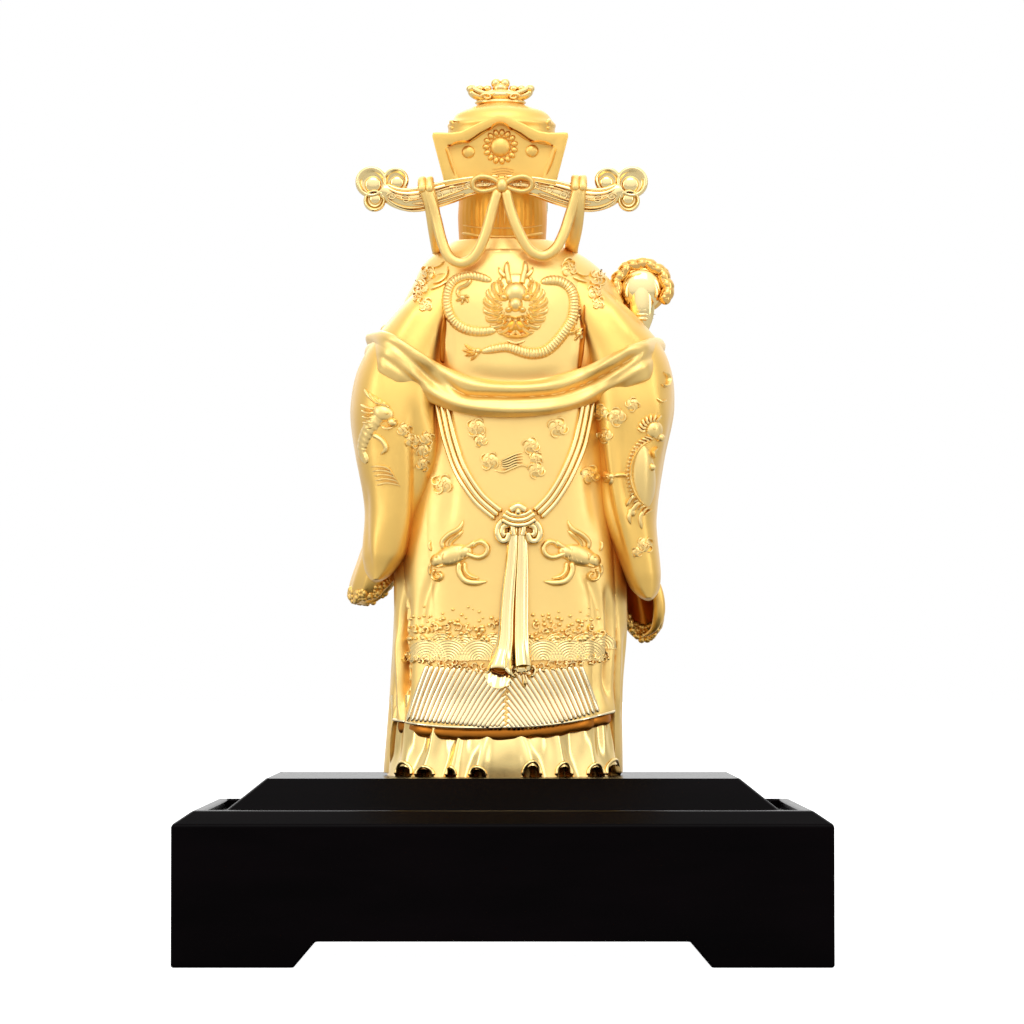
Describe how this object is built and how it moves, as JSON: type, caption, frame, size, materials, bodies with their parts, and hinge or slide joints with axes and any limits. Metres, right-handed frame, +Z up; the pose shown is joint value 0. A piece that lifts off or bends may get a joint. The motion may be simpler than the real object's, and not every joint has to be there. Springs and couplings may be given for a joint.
{
  "type": "caishen figure",
  "caption": "Gilded god-of-wealth figure in a winged hat and dragon robe, with ruyi sceptre and ingot, on a black lacquered stand.",
  "frame": {"origin": "middle of the stand's underside, on the table", "axes": "+Z up, -Y the way the figure faces, +X towards the figure's left hand, which holds the ingot"},
  "size_m": [0.15, 0.11, 0.2079],
  "materials": {
    "gilt": "fine sand-matte gold plating with polished trim",
    "lacquer": "high-gloss black lacquer"
  },
  "bodies": {
    "root": {"figure": "gilt", "stand_platform": "lacquer", "stand_base": "lacquer"}
  },
  "joints": []
}
